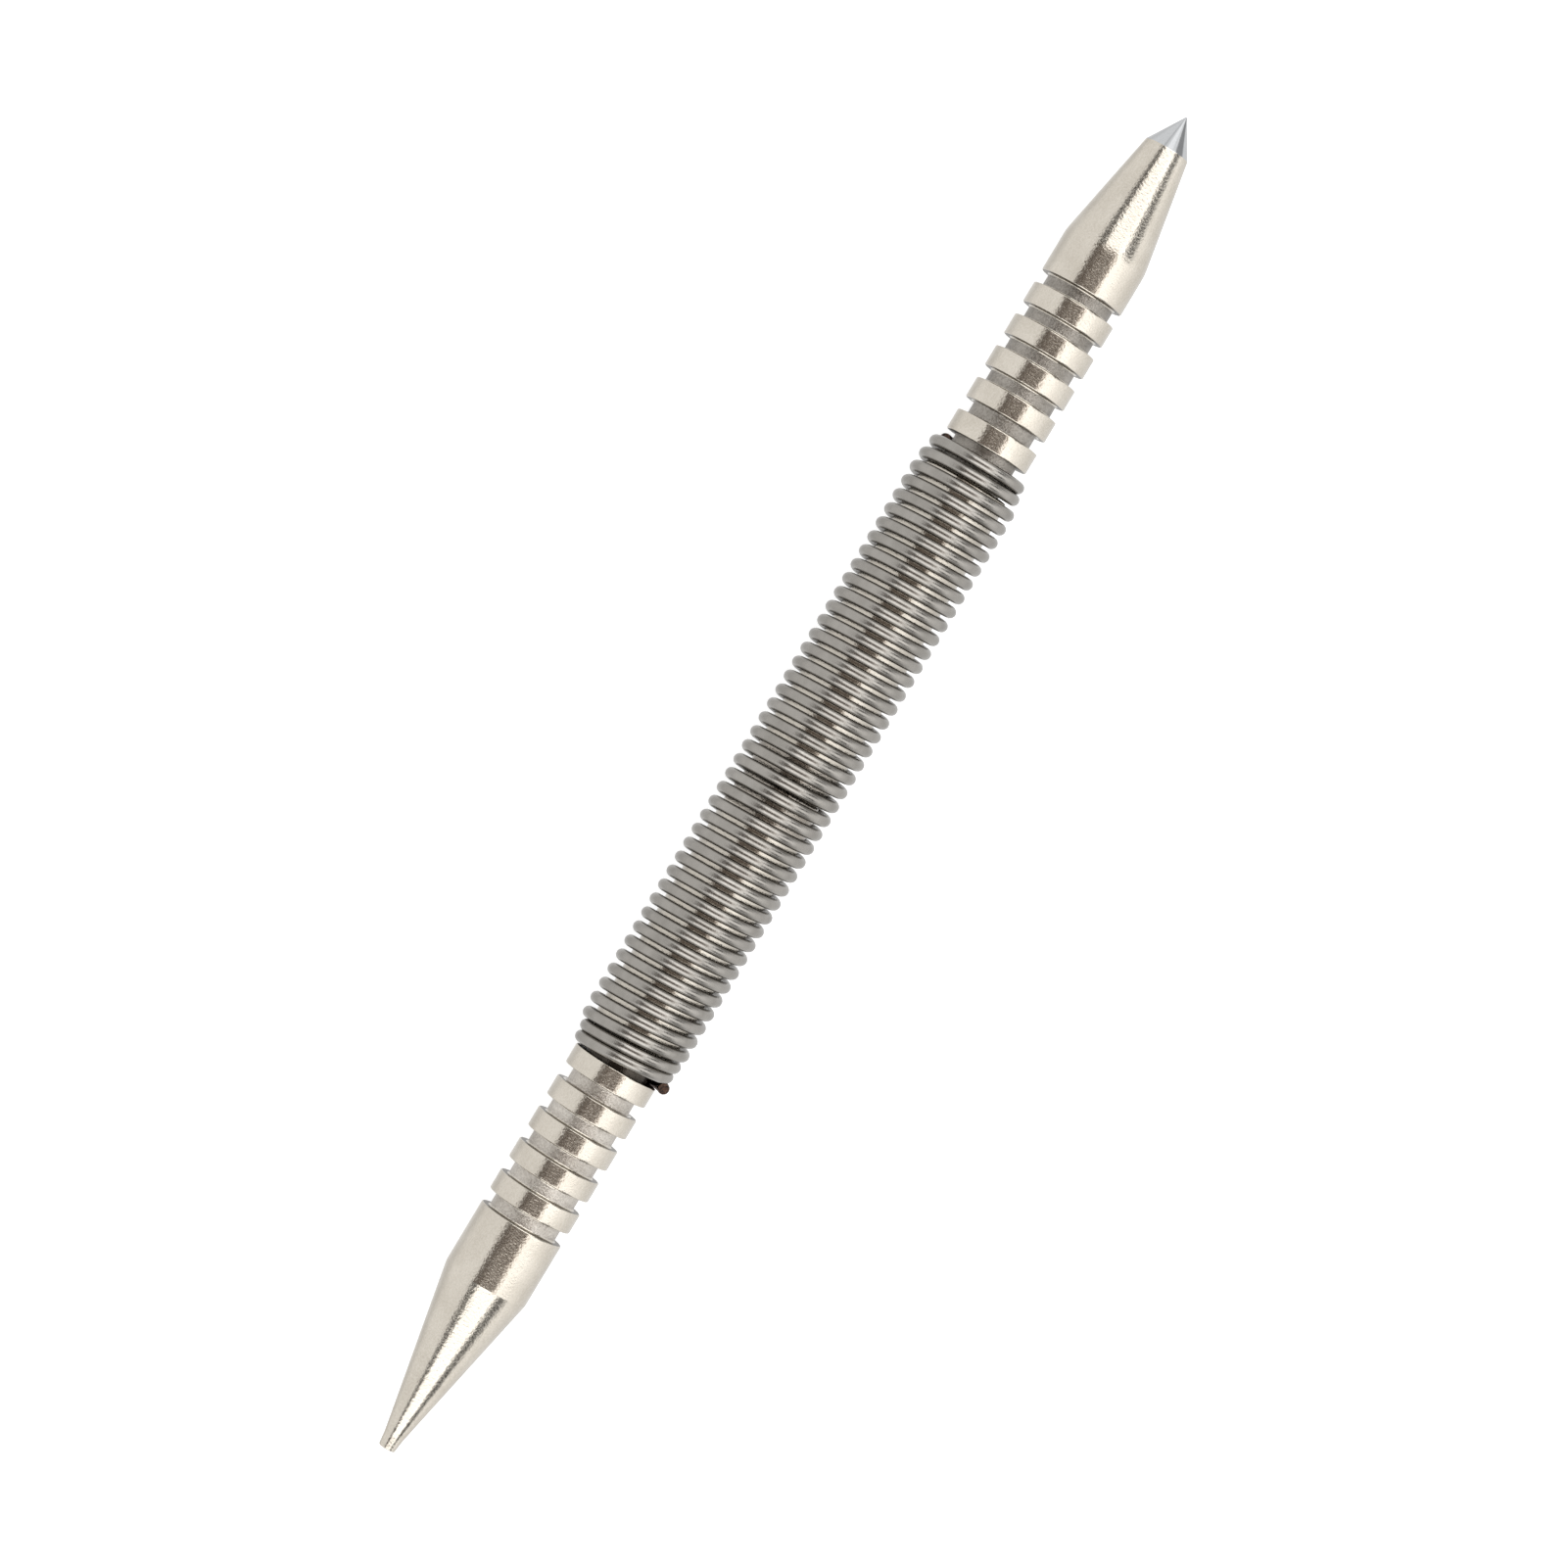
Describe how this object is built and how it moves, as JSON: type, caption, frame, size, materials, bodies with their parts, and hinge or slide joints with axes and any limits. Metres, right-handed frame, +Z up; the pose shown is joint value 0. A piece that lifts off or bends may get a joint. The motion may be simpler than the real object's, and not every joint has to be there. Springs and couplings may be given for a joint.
{
  "type": "spring driven nail set and centre punch",
  "caption": "Double-ended hand tool: a nail set rod and a centre punch rod, ringed for grip, joined end to end by an extension spring that snaps them together.",
  "frame": {"origin": "on the surface that the tool lies on, below the middle of its length, where the two striking faces meet", "axes": "+X along the tool towards the centre punch's point, -X towards the nail set's tip, +Z up from the surface"},
  "size_m": [0.1354, 0.0102, 0.0102],
  "materials": {
    "nickel_plate": "nickel-plated turned steel, warm satin, with ground tips",
    "spring_wire": "drawn music wire, satin grey, darker at the cut ends"
  },
  "bodies": {
    "spring": {"tension_spring": "spring_wire"},
    "nail_set": {"nail_set_rod": "nickel_plate"},
    "centre_punch": {"centre_punch_rod": "nickel_plate"}
  },
  "joints": [
    {"name": "pull_slide", "type": "slide", "parent": "spring", "child": "centre_punch", "axis": [1, 0, 0], "range_m": [0, 0.025], "stiffness_N_per_m": 320, "springref_m": -0.0167, "deforming": ["tension_spring"]},
    {"name": "nail_set_swivel", "type": "hinge", "parent": "spring", "child": "nail_set", "pos_m": [0, 0, 0.0051], "axis": [1, 0, 0], "continuous": true}
  ]
}
